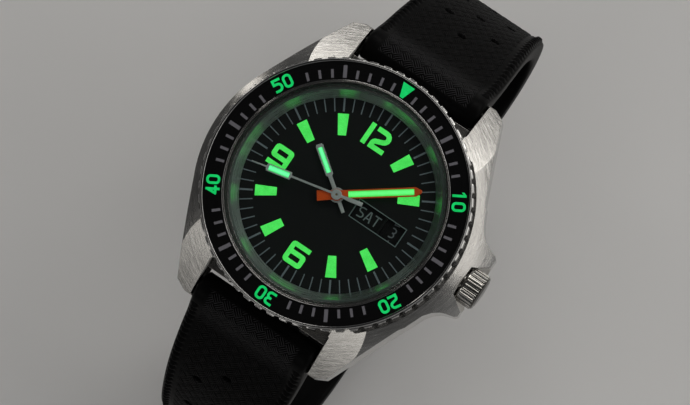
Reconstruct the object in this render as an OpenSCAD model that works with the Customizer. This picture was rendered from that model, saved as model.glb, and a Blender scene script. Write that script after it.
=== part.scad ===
// Dive watch on a rubber strap. Millimetres. +Z out of the dial, +Y to 12 o'clock, +X to the crown.
// The origin is the middle of the case back's outer face.

/* [Case] */
// Width between the lugs, which is the strap's width
lug_gap = 20; // [19.6:0.1:20.4]
// Half length over the lug tips
lug_tip = 23.1; // [22.6:0.1:24]
// Half width over the lugs near their tips
lug_x = 12.5; // [12.3:0.1:12.8]
// Half width of the case at 9 o'clock
case_half_w = 20.7; // [20.5:0.1:21.2]
// Distance of the spring bars from the middle
bar_y = 21.2; // [20.9:0.1:21.4]
// Height of the spring bars over the case back
bar_z = 2.8; // [2.6:0.1:3]

/* [Dial and hands] */
// Height of the dial's face over the case back
dial_z = 9; // [9:0.05:9.05]
// Angle of the hour hand, clockwise from 12
hour_a = 306.2; // [0:0.1:360]
// Angle of the minute hand, clockwise from 12
minute_a = 54; // [0:0.1:360]
// Angle of the seconds hand, clockwise from 12
second_a = 258; // [0:0.1:360]

/* [Bezel] */
// Outer radius of the bezel
bezel_r = 19.45; // [19.3:0.05:19.6]
// Number of notches in the bezel's edge
notches = 60; // [48:12:72]
// Angle of the bezel, clockwise from 12
bezel_a = 0; // [0:6:354]

/* [Crown] */
// Radius of the crown
crown_r = 2.75; // [2.6:0.05:2.8]
// Number of flutes on the crown
flutes = 26; // [18:2:28]
// Height of the crown's axis over the case back
stem_z = 5.7; // [5.6:0.05:5.8]

/* [Strap] */
// Length of the half with the buckle, from the spring bar
short_len = 68; // [66:1:69]
// Length of the half with the holes, from the spring bar
long_len = 103; // [98:1:104]
// Thickness of the strap
strap_t = 3.2; // [2.8:0.1:3.4]
// Width of the strap past the lugs
strap_w = 17.6; // [17:0.1:18]
// Number of adjustment holes
holes = 7; // [5:1:8]

/* [Hidden] */
$fn = 64;
STEEL = [0.72, 0.72, 0.7]; BLACK = [0.04, 0.04, 0.045]; LUME = [0.45, 0.95, 0.5]; GREY = [0.45, 0.46, 0.48];
BRASS = [0.75, 0.62, 0.32]; ORANGE = [0.85, 0.3, 0.05]; RUBBER = [0.07, 0.07, 0.08];

// ---- shared shapes -------------------------------------------------------------------------
module ring(ro, ri, z0, z1) translate([0, 0, z0]) difference() {
  cylinder(r = ro, h = z1 - z0);
  translate([0, 0, -1]) cylinder(r = ri, h = z1 - z0 + 2);
}
module disc(r, z0, z1) translate([0, 0, z0]) cylinder(r = r, h = z1 - z0);
module slab(pts, z0, z1) translate([0, 0, z0]) linear_extrude(z1 - z0) polygon(pts);
module box(x0, x1, y0, y1, z0, z1) translate([x0, y0, z0]) cube([x1 - x0, y1 - y0, z1 - z0]);
module xcyl(r, x0, x1) translate([x0, 0, 0]) rotate([0, 90, 0]) cylinder(r = r, h = x1 - x0);
module at_clock(a) rotate([0, 0, -a]) children();

// The outline of a stroke of width w along a row of points: the outer side of each turn is rounded by r in k steps
function unit(v) = v / norm(v);
function left(d) = [-d[1], d[0]];
function edge(p, w, s, r, k) = [for (i = [0:len(p) - 1]) each
  i == 0 ? [p[0] + s * w / 2 * left(unit(p[1] - p[0]))] :
  i == len(p) - 1 ? [p[i] + s * w / 2 * left(unit(p[i] - p[i - 1]))] :
  let (d = unit(p[i] - p[i - 1]), e = unit(p[i + 1] - p[i]), q = p[i] + s * w / 2 * (left(d) + left(e)) / (1 + d * e))
  (d[0] * e[1] - d[1] * e[0]) * s > 0 || r == 0 ? [q] : [for (j = [0:k]) let (u = j / k) q - d * r * (1 - u) * (1 - u) + e * r * u * u]];
function back(p) = [for (i = [len(p) - 1:-1:0]) p[i]];
function stroke(p, w, r, k) = concat(edge(p, w, 1, r, k), back(edge(p, w, -1, r, k)));
function rbox(w, h, r, k, v = [0, 0]) = [for (c = [[1, 1, 0], [-1, 1, 90], [-1, -1, 180], [1, -1, 270]]) each
  [for (j = [0:k]) v + [c[0] * (w / 2 - r) + r * cos(c[2] + j * 90 / k), c[1] * (h / 2 - r) + r * sin(c[2] + j * 90 / k)]]];
function arc(v, r, a, b, n) = [for (i = [0:n]) v + r * [cos(a + (b - a) * i / n), sin(a + (b - a) * i / n)]];
function span(a, n) = [for (i = [0:n - 1]) a + i];
// Course of a 2: top bar, round shoulder, return stroke falling by 20 degrees, foot
function two(w, x, y, n) = let (r = x * 0.79, s = x * 0.52, p = [x - r + r * cos(70), y - r - r * sin(70)], q = s * (1 - sin(20)) - x,
  c = [q + s * sin(20), p[1] - (p[0] - q) * tan(20) - s * cos(20)])
  concat([[-w / 2, y]], arc([x - r, y - r], r, 90, -70, n), arc(c, s, 110, 180, n), [[-x, -y], [w / 2, -y]]);
// Squared figures and letters, w wide and h high, in strokes of width t, centred on the origin
module glyph(c, w, h, t, z0, z1, k = 3) {
  x = w / 2 - t / 2; y = h / 2 - t / 2; r = t * 0.8; m = h * 0.1; q = t * 0.25; n = k * 2; a = y / 2; b = (m + y) / 2; f = x * 0.45;
  module pen(p) slab(stroke(p, t, r, k), z0, z1);
  module bow(p) slab(stroke(p, t, 0, 1), z0, z1);
  module holed(o, i) translate([0, 0, z0]) linear_extrude(z1 - z0) polygon(concat(o, i), [span(0, len(o)), span(len(o), len(i))]);
  if (c == "0") holed(rbox(w, h, w * 0.44, k + 2), rbox(w - 2 * t, h - 2 * t, (w - 2 * t) * 0.42, k + 2));
  if (c == "1") slab([[-t / 2, -h / 2], [t / 2, -h / 2], [t / 2, h / 2], [-t * 0.3, h / 2], [-t * 1.4, h / 2 - t * 0.95], [-t * 1.4, h / 2 - t * 1.95], [-t / 2, h / 2 - t * 1.2]], z0, z1);
  if (c == "2") bow(two(w, x, y, n));
  if (c == "3") { bow(concat([[-w * 0.45, y]], arc([x - a, a], a, 90, -90, n), [[-w * 0.15, 0]])); bow(concat(arc([x - a, -a], a, 90, -90, n), [[-w * 0.45, -y]])); }
  if (c == "4") { pen([[f, h / 2 - t * 0.62], [t * 0.3 - x, -h * 0.2], [w / 2, -h * 0.2]]); box(f - t / 2, f + t / 2, -h / 2, h / 2, z0, z1); }
  if (c == "5") bow(concat([[w * 0.45, y], [-x, y], [-x, m]], arc([x - b, m - b], b, 90, -90, n), [[-w * 0.45, -y]]));
  if (c == "S") bow(concat([[w * 0.42, y]], arc([a - x, a], a, 90, 270, n), arc([x - a, -a], a, 90, -90, n), [[-w * 0.42, -y]]));
  if (c == "6") holed(concat([[w / 2, h / 2 - t], [w / 2, h / 2]],
      [for (j = [0:k]) [-w / 2 + r - r * sin(j * 90 / k), h / 2 - r + r * cos(j * 90 / k)]],
      [for (j = [0:k]) [-w / 2 + r - r * cos(j * 90 / k), -h / 2 + r - r * sin(j * 90 / k)]],
      [for (j = [0:k]) [w / 2 - r + r * sin(j * 90 / k), -h / 2 + r - r * cos(j * 90 / k)]],
      [for (j = [0:k]) [w / 2 - r + r * cos(j * 90 / k), h * 0.14 - r + r * sin(j * 90 / k)]],
      [[-w / 2 + t, h * 0.14], [-w / 2 + t, h / 2 - t]]),
    rbox(w - 2 * t, h * 0.64 - 2 * t, q * 0.7, k, [0, -h * 0.18]));
  if (c == "7") pen([[-w / 2, y], [x, y], [0, -h / 2]]);
  if (c == "8") { o = rbox(w, h, r * 1.2, k); i = rbox(w - 2 * t, h / 2 - 1.5 * t, q * 0.7, k, [0, h / 4 - t / 4]); l = len(i);
    translate([0, 0, z0]) linear_extrude(z1 - z0) polygon(concat(o, i, [for (v = i) [v[0], -v[1]]]), [span(0, l), span(l, l), span(2 * l, l)]); }
  if (c == "9") rotate([0, 0, 180]) glyph("6", w, h, t, z0, z1, k);
  if (c == "A") { bow([[-x, -h / 2], [-t * 0.5, y], [t * 0.5, y], [x, -h / 2]]); box(-x * 0.72, x * 0.72, -h * 0.2 - t / 2, -h * 0.2 + t / 2, z0, z1); }
  if (c == "T") { box(-w / 2, w / 2, y - t / 2, y + t / 2, z0, z1); box(-t / 2, t / 2, -h / 2, y, z0, z1); }
  if (c == "E" || c == "F") { pen(c == "E" ? [[w / 2, y], [-x, y], [-x, -y], [w / 2, -y]] : [[w / 2, y], [-x, y], [-x, -h / 2]]); box(-x, w * 0.3, -t / 2, t / 2, z0, z1); }
  if (c == "U") pen([[-x, h / 2], [-x, -y], [x, -y], [x, h / 2]]);
  if (c == "I") box(-t / 2, t / 2, -h / 2, h / 2, z0, z1);
  if (c == "H") { for (s = [-x, x]) box(s - t / 2, s + t / 2, -h / 2, h / 2, z0, z1); box(-x, x, -t / 2, t / 2, z0, z1); }
  if (c == "N") { for (s = [-x, x]) box(s - t / 2, s + t / 2, -h / 2, h / 2, z0, z1); slab([[-x, h / 2], [-x, h / 2 - t * 1.6], [x, -h / 2], [x, t * 1.6 - h / 2]], z0, z1); }
  if (c == "M" || c == "W") rotate([0, 0, c == "W" ? 180 : 0]) { for (s = [-x, x]) box(s - t / 2, s + t / 2, -h / 2, h / 2, z0, z1);
    slab([[-x, h / 2], [-x, h / 2 - t * 1.5], [0, -h * 0.1], [x, h / 2 - t * 1.5], [x, h / 2], [0, -h * 0.1 + t * 1.5]], z0, z1); }
  if (c == "R") { holed(concat(rbox(w, h * 0.56, r, k, [0, h * 0.22])), rbox(w - 2 * t, h * 0.56 - 2 * t, q * 0.5, k, [0, h * 0.22]));
    box(-w / 2, -w / 2 + t, -h / 2, 0, z0, z1); slab([[-t * 0.4, 0], [t * 0.8, 0], [w / 2, -h / 2], [w / 2 - t * 1.2, -h / 2]], z0, z1); }
  if (c == "O" || c == "D") glyph("0", w, h, t, z0, z1, k);
}
module word(s, w, gap, h, t, z0, z1, k = 3) for (i = [0:len(s) - 1])
  translate([(i - (len(s) - 1) / 2) * (w + gap), 0, 0]) glyph(s[i], w, h, t, z0, z1, k);

// Toothed wheel: n teeth of module m, turned so that a gap (g = 0.5) or a tooth (g = 0) lies at angle a
function teeth(n, m, a, g) = [for (i = [0:n - 1]) each let (p = 360 / n, c = a + (i + g) * p, r = n * m / 2)
  [(r - 1.15 * m) * [cos(c - p * 0.28), sin(c - p * 0.28)], (r + 0.85 * m) * [cos(c - p * 0.1), sin(c - p * 0.1)],
   (r + 0.85 * m) * [cos(c + p * 0.1), sin(c + p * 0.1)], (r - 1.15 * m) * [cos(c + p * 0.28), sin(c + p * 0.28)]]];
module wheel(n, m, z0, z1, a = 0, g = 0, spokes = true) difference() {
  slab(teeth(n, m, a, g), z0, z1);
  if (spokes) for (k = [0:2]) rotate([0, 0, k * 120 + 20]) translate([n * m * 0.27, 0, z0 - 1]) cylinder(r = n * m * 0.13, h = 3);
}

// ---- case ----------------------------------------------------------------------------------
seat_z = 8.8;
// Seen from above: a round body whose sides run on straight to the lug tips, their corners clipped
function touch(r, x, y) = let (a = atan2(y, x) - acos(r / norm([x, y]))) r * [cos(a), sin(a)];
module case_plan() union() {
  t = touch(case_half_w - 0.03, lug_x + 0.4, lug_tip - 0.9);
  rotate_extrude($fn = 180) polygon([[0, -1], [case_half_w, -1], [case_half_w, 13], [0, 13]]);
  for (s = [-1, 1]) slab([[t[0], s * t[1]], [lug_x + 0.4, s * (lug_tip - 0.9)], [lug_x - 1.3, s * lug_tip], [1.3 - lug_x, s * lug_tip], [-lug_x - 0.4, s * (lug_tip - 0.9)], [-t[0], s * t[1]]], -1, 13);
}
// The lug tops at one end of the case are a shallow arch, a large cylinder laid along x
arch_y = 37.02; arch_z = -100.16; arch_r = 120;
module lug_arch(s) translate([-30, -s * arch_y, arch_z]) rotate([0, 90, 0]) cylinder(r = arch_r, h = 60, $fn = 360);
// Narrow polished bevel along the inner top edge of each lug
module lug_bevel(s) for (m = [0, 1]) mirror([m, 0, 0]) intersection() {
  translate([0, -s * arch_y, arch_z]) rotate([0, 90, 0]) rotate_extrude($fn = 360)
    polygon([[arch_r - 0.2, 9], [arch_r - 0.2, lug_gap / 2], [arch_r + 0.05, lug_gap / 2 + 0.25], [arch_r + 1, lug_gap / 2 + 0.25], [arch_r + 1, 9]]);
  translate([9.5, s > 0 ? 17.2 : -25.2, 0]) cube([2, 8, 12]);
}
// Seen from the side: arched lug tops, turned-down lugs
module case_side() intersection() {
  lug_arch(1);
  lug_arch(-1);
  translate([-30, 0, 0]) rotate([90, 0, 90]) linear_extrude(60) polygon([[-lug_tip - 1, 0.25], [-17.5, 1.1], [17.5, 1.1],
    [lug_tip + 1, 0.25], [lug_tip + 1, 2], [lug_tip - 0.1, 3.4], [lug_tip - 0.9, 9], [-lug_tip + 0.9, 9], [-lug_tip + 0.1, 3.4], [-lug_tip - 1, 2]]);
}
// Turned shoulder: it gives the polished bevel from the bezel seat out to the lugs
module case_turned() rotate_extrude($fn = 180) intersection() {
  translate([10.16, -11.28]) circle(r = 22.1, $fn = 180);
  square([27.8, seat_z]);
}
// Crown guards: the same shoulder runs on over them to their tips
module guards() intersection() {
  translate([0, 0, 2.3]) linear_extrude(8) polygon([[17, 11.5], [18.3, 10.4], [19.2, 8.6], [20.2, 7.1], [21, 6.4], [22, 5.9], [23.1, 5.5], [23.45, 5.1],
    [23.45, -4.5], [23.1, -4.85], [22, -5.15], [21.2, -5.5], [20.3, -6.25], [19.5, -7.3], [18.4, -10], [17.4, -11.5]]);
  translate([0, 0, 5.1]) rotate([90, 0, 0]) translate([0, 0, -15]) linear_extrude(30) polygon([[15, -2.6], [22.7, -2.6], [23.6, -1.6], [23.6, 6], [15, 6]]);
  case_turned();
}
module mid_case() color(STEEL) difference() {
  union() {
    intersection() { case_plan(); case_side(); case_turned(); }
    guards();
    ring(16.6, 15, 8, 10.75);
    ring(15.95, 15, 10.5, 11.85);
  }
  // gaps for the strap, between the lugs
  for (s = [-1, 1]) intersection() {
    translate([-lug_gap / 2, s > 0 ? 12 : -30, -2]) cube([lug_gap, 18, 16]);
    difference() { disc(40, -2, 8.75); disc(18.2, -3, 10); box(-10.5, 10.5, -18.4, 18.4, -3, 4.1); }
  }
  lug_bevel(1);
  lug_bevel(-1);
  disc(15.3, 3, 10.6);
  disc(15.8, 10.6, 13);
  disc(15.25, 0, 3.1);
  disc(16.55, 0, 2.2);
  // groove under the bezel's edge
  ring(19.62, 18.8, 8.15, 9.3);
  // groove of the bezel's wire
  ring(18, 16.3, 9.55, 10.05);
  // crown recess and tube hole
  translate([0, 0, stem_z]) { xcyl(0.9, 14, 22); xcyl(3.05, 21.3, 26); }
  translate([23.2, 0, stem_z]) rotate([0, 90, 0]) translate([0, 0, -1.4]) cylinder(r1 = 3, r2 = 3.9, h = 1.8);
  // spring bar holes
  for (s = [-1, 1]) translate([0, s * bar_y, bar_z]) xcyl(0.5, -11.3, 11.3);
}
module case_back() color(STEEL) difference() {
  union() {
    rotate_extrude($fn = 128) polygon([[0, 0], [15.6, 0], [16.4, 0.5], [16.4, 1.75], [15.2, 1.75], [15.2, 3], [14, 3], [14, 1.5], [0, 1.5]]);
  }
  for (k = [0:5]) rotate([0, 0, k * 60]) box(14.6, 18, -1.1, 1.1, -1, 0.6);
  ring(13.1, 12.7, -1, 0.12);
}
module case_back_gasket() color(BLACK) ring(16.4, 15.3, 1.8, 2.15);
module movement_ring() color([0.8, 0.8, 0.76]) difference() {
  ring(15.2, 12.55, 3.1, 8.55);
  translate([0, 0, stem_z]) xcyl(0.75, 11, 17);
  box(11, 13.9, -1.15, 1.15, 4.6, 6.3);
  for (a = [100, 280]) rotate([0, 0, a]) translate([12.9, 0, 7.4]) cylinder(r = 0.34, h = 2);
}
module crown_tube() color(STEEL) translate([0, 0, stem_z]) difference() {
  union() { xcyl(0.88, 15.4, 21.3); xcyl(1.6, 21.3, 23.05); }
  xcyl(0.5, 12, 25);
}
module rehaut_ring() color(STEEL) rotate_extrude($fn = 128) polygon([[13.95, 9.02], [15.25, 9.02], [15.25, 10.58], [14.95, 10.58]]);
module crystal() color([0.8, 0.9, 0.95, 0.3]) rotate_extrude($fn = 128) polygon([[0, 10.62], [15.7, 10.62], [15.7, 11.72], [15.2, 12.15], [0, 12.15]]);
module crystal_gasket() color([0.9, 0.9, 0.88]) ring(15.79, 15.71, 10.62, 11.7);
module bezel_click_spring() color(STEEL) difference() {
  union() { ring(18.6, 16.7, 8.82, 8.98);
    for (k = [0:2]) rotate([0, 0, k * 120 + 30]) box(17.2, 18.4, -0.9, 0.9, 8.9, 9.12); }
  for (k = [0:2]) rotate([0, 0, k * 120 + 90]) translate([17.65, 0, 8]) cylinder(r = 0.4, h = 2);
}
module bezel_retaining_wire() color(STEEL) difference() { ring(17.02, 16.36, 9.62, 9.98); box(0, 30, -0.6, 0.6, 9, 11); }
module spring_bars() color(STEEL) for (s = [-1, 1]) translate([0, s * bar_y, bar_z]) union() {
  xcyl(0.9, -9.75, 9.75);
  xcyl(0.45, -11.1, 11.1);
  for (e = [-1, 1]) xcyl(0.75, e > 0 ? 9.7 : -9.95, e > 0 ? 9.95 : -9.7);
}

// ---- dial ----------------------------------------------------------------------------------
module dial() color(BLACK) difference() {
  union() {
    disc(15.2, dial_z - 0.4, dial_z);
    for (a = [100, 280]) rotate([0, 0, a]) translate([12.9, 0, 7.6]) cylinder(r = 0.3, h = 1.2);
  }
  disc(0.9, 8, 10);
  box(3.05, 7.55, -1.38, 1.38, 8, 10);
  box(7.85, 10.85, -1.38, 1.38, 8, 10);
}
module minute_track() color(GREY) for (i = [0:59]) at_clock(i * 6)
  box(i % 5 == 0 ? -0.13 : -0.075, i % 5 == 0 ? 0.13 : 0.075, 12, 13.92, dial_z, dial_z + 0.02);
function sector(r0, r1, a) = [[-r0 * sin(a), r0 * cos(a)], [r0 * sin(a), r0 * cos(a)], [r1 * sin(a), r1 * cos(a)], [-r1 * sin(a), r1 * cos(a)]];
module hour_markers() color(LUME) {
  for (h = [1, 2, 4, 5, 7, 8, 10, 11]) at_clock(h * 30) slab(sector(8.6, 11.7, 3.9), dial_z, dial_z + 0.16);
  box(-1.71, -0.99, 8.155, 11.505, dial_z, dial_z + 0.16);
  translate([0.75, 9.83, 0]) glyph("2", 2.5, 3.35, 0.72, dial_z, dial_z + 0.16);
  translate([0, -10.15, 0]) glyph("6", 3.05, 3.3, 0.7, dial_z, dial_z + 0.16);
  translate([-9.73, 0, 0]) glyph("9", 3.05, 3.25, 0.7, dial_z, dial_z + 0.16);
}
module day_date_frame() color(GREY) difference() {
  box(2.92, 10.98, -1.51, 1.51, dial_z, dial_z + 0.08);
  box(3.05, 10.85, -1.38, 1.38, 8, 10);
}

// ---- movement ------------------------------------------------------------------------------
// Places of the wheels: the third wheel, the intermediate wheel, the rotor and the minute wheel
function polar(r, a) = [r * cos(a), r * sin(a), 0];
P3 = polar(2.34, 30); PI = polar(2.4, 250); PR = polar(5.2, 250); PM = polar(3, 150); PB = [-5, 5, 0];
m1 = 2.34 / 34; m2 = 2.34 / 36;
pillars = [[3.2, -2.2, 0], [-4.4, -1.5, 0]];
strap_ends = [[-0.6, 9.4, 0], [-9.4, 0.6, 0]];
module main_plate() color(BRASS) difference() {
  union() {
    disc(12.45, 5, 7.5);
    ring(11.4, 8.5, 7.4, 8.08);
    ring(12.45, 11.75, 7.4, 8.5);
    translate(PM) disc(0.28, 7.4, 8.05);
    for (p = strap_ends) translate(p) disc(0.75, 2.5, 5.1);
  }
  disc(0.56, 2, 10);
  for (p = [P3, PI, PR]) translate(p) disc(0.13, 4.9, 5.4);
  translate(PB) disc(4.95, 4, 5.35);
  translate([0, 0, stem_z]) xcyl(0.45, 5.8, 14);
  box(8.2, 13.5, -1.15, 1.15, 4.6, 6.8);
  for (p = pillars) translate(p) disc(0.4, 4.5, 6.2);
  for (p = strap_ends) translate(p) disc(0.4, 2, 4.6);
}
module train_bridge() color(BRASS) difference() {
  union() {
    slab([[-5.3, -2.4], [-5.3, -0.6], [-3, 0.2], [-0.6, 1.4], [1.4, 2.2], [3, 2.1], [4.2, -1.4], [4.2, -3], [0.2, -3.6],
      [-0.6, -5.9], [-2.9, -5.9], [-3.3, -3]], 2.7, 3.2);
    for (p = pillars) translate(p) disc(0.7, 3.1, 5);
  }
  for (p = [[0, 0, 0], P3, PI, PR]) translate(p) disc(0.13, 2, 4);
  translate([0, 0, 0]) disc(0.2, 3, 4);
  for (p = pillars) translate(p) disc(0.4, 2, 6);
}
module circuit_board() color([0.1, 0.35, 0.2]) slab([[4.8, -4], [5.2, 3], [3, 5], [1.4, 6.8], [2, 10.5], [6, 9.5], [9, 7], [10.8, 3],
  [11, -2.5], [9.5, -5.5], [6, -4.8]], 2.7, 2.9);
module quartz_can() color(STEEL) translate([7.5, -3, 3.86]) rotate([-90, 0, 0]) union() { cylinder(r = 0.95, h = 5.6); cylinder(r = 0.8, h = 6); }
module battery() color(STEEL) translate(PB) union() { disc(4.75, 3, 5.2); disc(4.1, 2.62, 3.1); }
module battery_strap() color(STEEL) difference() {
  translate(PB) rotate([0, 0, 45]) union() { box(-6.9, 6.9, -1.1, 1.1, 2.38, 2.5); }
  for (p = strap_ends) translate(p) disc(0.42, 2, 3);
}
module coil() color([0.7, 0.35, 0.15]) union() {
  translate([0, -9.2, 3.7]) { xcyl(1.05, -3, 5); xcyl(1.2, -3.2, -2.9); xcyl(1.2, 4.9, 5.2); }
  box(-5, 7.3, -9.65, -8.75, 3.55, 3.85);
  box(-5, -4.1, -9.65, -8.75, 3.55, 4.38);
  box(6.4, 7.3, -9.65, -8.75, 3.55, 4.38);
}
module stator() color(GREY) difference() {
  union() {
    translate(PR) disc(2, 4.4, 4.65);
    slab([[-3.4, -4.2], [-1.9, -5.6], [-2.2, -6.2], [-3.9, -9.7], [-5, -9.7]], 4.4, 4.65);
    slab([[-1, -3.9], [7.3, -7], [7.3, -9.7], [6.3, -9.7], [6.3, -7.7], [-1, -5.9]], 4.4, 4.65);
  }
  translate(PR) disc(1.1, 4, 5);
}
module screw(p, z) translate(p) difference() {
  union() { disc(0.7, z - 0.32, z); disc(0.35, z - 0.1, z + 1.9); }
  box(-1, 1, -0.1, 0.1, z - 1, z - 0.18);
}
module movement_screws() color([0.35, 0.4, 0.6]) { for (p = pillars) screw(p, 2.69); for (p = strap_ends) screw(p, 2.37); }
module rotor() color(GREY) translate(PR) union() { disc(0.85, 4.28, 4.8); wheel(8, 0.1, 3.75, 4.05, 70, 0, false); disc(0.3, 4, 4.4); disc(0.1, 2.8, 5.2); }
module intermediate_wheel() color(BRASS) translate(PI) union() { wheel(48, 0.1, 3.85, 3.95, 250, 0.5); wheel(8, 0.1, 3.5, 3.9, 70, 0, false); disc(0.1, 2.8, 5.3); }
module seconds_wheel() color(BRASS) union() { disc(0.11, 2.75, 3.5); disc(0.16, 3.3, 10.25); wheel(40, 0.1, 3.55, 3.7, 250, 0.5); wheel(8, m1, 3.65, 4.35, 30, 0, false); }
module third_wheel() color(BRASS) translate(P3) union() { wheel(60, m1, 4.1, 4.25, 210, 0.5); wheel(8, m2, 4.2, 4.95, 210, 0, false); disc(0.1, 2.8, 5.3); }
module cannon_wheel() color(BRASS) difference() {
  union() { wheel(64, m2, 4.7, 4.85, 30, 0.5); disc(0.5, 4.7, 10); wheel(12, 0.125, 7.56, 7.8, 150, 0, false); }
  disc(0.2, 4, 11);
}
module minute_wheel() color(BRASS) translate(PM) difference() {
  union() { wheel(36, 0.125, 7.58, 7.74, 330, 0.5); wheel(10, 0.12, 7.7, 8.02, 330, 0, false); }
  disc(0.33, 7, 9);
}
module hour_wheel() color(BRASS) difference() {
  union() { wheel(40, 0.12, 7.86, 8, 150, 0.5); disc(0.8, 7.86, 9.62); }
  disc(0.55, 7, 11);
}

// ---- hands ---------------------------------------------------------------------------------
hz = 9.38; mz = 9.72; sz = 10.06;
module hour_hand() color(STEEL) at_clock(hour_a) difference() {
  union() {
    disc(1.08, hz, hz + 0.22);
    slab([[-0.25, -2.68], [0.25, -2.68], [0.29, 0], [0.29, 2.9], [0.53, 3.1], [0.55, 7.4], [0.42, 7.7], [-0.42, 7.7], [-0.55, 7.4], [-0.53, 3.1], [-0.29, 2.9], [-0.29, 0]], hz, hz + 0.16);
  }
  disc(0.79, 9, 11);
  box(-0.34, 0.34, 3.4, 7.2, 9, 11);
}
module hour_hand_lume() color(LUME) at_clock(hour_a) box(-0.33, 0.33, 3.41, 7.19, hz + 0.02, hz + 0.19);
module minute_hand() color(ORANGE) at_clock(minute_a) difference() {
  union() {
    disc(0.85, mz, mz + 0.22);
    slab([[-0.75, -2.8], [0.75, -2.8], [0.62, 0], [0.67, 11.2], [0.18, 12.05], [-0.18, 12.05], [-0.67, 11.2], [-0.62, 0]], mz, mz + 0.16);
  }
  disc(0.49, 9, 11);
  box(-0.45, 0.45, 1.65, 10.95, 9, 11);
}
module minute_hand_lume() color(LUME) at_clock(minute_a) box(-0.44, 0.44, 1.66, 10.94, mz + 0.02, mz + 0.19);
module seconds_hand() color(STEEL) at_clock(second_a) difference() {
  union() {
    disc(0.76, sz, sz + 0.24);
    slab([[-0.3, -3.94], [0.3, -3.94], [0.3, -2.2], [0.16, -0.4], [0.14, 6.9], [0.56, 7], [0.56, 10.6], [0.12, 10.75], [0.06, 13], [-0.06, 13], [-0.12, 10.75], [-0.56, 10.6], [-0.56, 7], [-0.14, 6.9], [-0.16, -0.4], [-0.3, -2.2]], sz, sz + 0.12);
  }
  disc(0.155, 9, 11);
  box(-0.4, 0.4, 7.24, 10.36, 9, 11);
}
module seconds_hand_lume() color(LUME) at_clock(second_a) box(-0.39, 0.39, 7.25, 10.35, sz + 0.01, sz + 0.15);

// ---- calendar ------------------------------------------------------------------------------
module date_disc() color(BLACK) difference() {
  ring(11.5, 8, 8.15, 8.33);
  for (i = [0:30]) rotate([0, 0, (i + 0.5) * 360 / 31]) translate([8, 0, 8]) cylinder(r = 0.26, h = 1);
}
module date_print() color([0.85, 0.85, 0.85]) for (k = [1:31]) rotate([0, 0, (3 - k) * 360 / 31])
  translate([9.48, 0, 0]) word(str(k), 0.82, 0.14, 1.55, 0.17, 8.33, 8.35, 2);
module day_disc() color(BLACK) ring(8.42, 0.86, 8.38, 8.5);
module day_print() color([0.85, 0.85, 0.85]) for (k = [0:6]) rotate([0, 0, -k * 360 / 7])
  translate([5.4, 0, 0]) word(["SAT", "SUN", "MON", "TUE", "WED", "THU", "FRI"][k], 1.05, 0.2, 1.6, 0.18, 8.5, 8.52, 2);

// ---- crown ---------------------------------------------------------------------------------
module crown() color(STEEL) translate([0, 0, stem_z]) difference() {
  rotate([0, 90, 0]) rotate_extrude($fn = 96) polygon([[0.37, 21.5], [crown_r - 0.3, 21.5], [crown_r, 21.8], [crown_r, 24.05], [crown_r - 0.3, 24.38],
    [2.15, 24.4], [2, 24.5], [1, 24.6], [0, 24.62], [0, 23.9], [0.37, 23.9]]);
  xcyl(1.76, 21, 23.25);
  for (i = [0:flutes - 1]) rotate([i * 360 / flutes, 0, 0]) translate([0, 0, crown_r + 0.07]) xcyl(0.23, 21.95, 25);
}
module stem() color(STEEL) translate([0, 0, stem_z]) difference() {
  xcyl(0.36, 6.2, 23.88);
  difference() { xcyl(1, 12.15, 12.55); xcyl(0.24, 12, 13); }
}
module crown_gasket() color(BLACK) translate([0, 0, stem_z]) difference() { xcyl(1.75, 22.15, 22.75); xcyl(1.63, 21, 24); }
module setting_lever() color(STEEL) difference() {
  box(12.22, 12.48, -0.9, 0.9, 4.72, stem_z);
  translate([0, 0, stem_z]) xcyl(0.28, 12, 13);
}
module sliding_pinion() color(STEEL) translate([0, 0, stem_z]) difference() {
  xcyl(0.85, 8.7, 10.3);
  xcyl(0.37, 8, 11);
  for (i = [0:9]) rotate([i * 36, 0, 0]) translate([0, 0, 0.88]) xcyl(0.13, 8.5, 9.5);
}

// ---- bezel ---------------------------------------------------------------------------------
module bezel_ring() color(STEEL) difference() {
  rotate_extrude($fn = 180) polygon(concat([[16.7, 9.2], [18.7, 9.2], [18.7, 8.95], [19.05, 8.95], [bezel_r - 0.02, 9.4], [bezel_r, 11.1], [bezel_r - 0.1, 11.36], [19.17, 11.42]],
    arc([18.955, 11.75], 0.215, 0, 180, 8), [[18.74, 11.3], [16.14, 11.3]], arc([16.065, 11.77], 0.075, 0, 180, 4), [[15.99, 10.82], [16.7, 10.82]]));
  ring(17.1, 16, 9.55, 10.05);
  for (i = [0:notches - 1]) rotate([0, 0, (i + 0.5) * 360 / notches]) translate([bezel_r + 0.13, 0, 8]) cylinder(r = 0.5, h = 3.61, $fn = 24);
}
module bezel_insert() color(BLACK) ring(18.73, 16.15, 11.3, 11.7);
module bezel_marks() color(GREY) at_clock(bezel_a) for (i = [1:59])
  if (!(i % 10 == 0 || (i % 10 == 1 && i > 5) || (i % 10 == 9 && i < 55))) at_clock(i * 6)
    box(i % 5 == 0 ? -0.27 : -0.19, i % 5 == 0 ? 0.27 : 0.19, 16.4, i % 5 == 0 ? 18.2 : 17.62, 11.7, 11.73);
module bezel_numerals() color(LUME) at_clock(bezel_a) {
  slab([[-0.25, 16.32], [0.25, 16.32], [0.95, 18.38], [-0.95, 18.38]], 11.7, 11.8);
  for (k = [1:5]) at_clock(k * 60) translate([0, 17.38, 0]) word(str(k * 10), 1.36, 0.2, 2, 0.36, 11.7, 11.8, 4);
}

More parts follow.
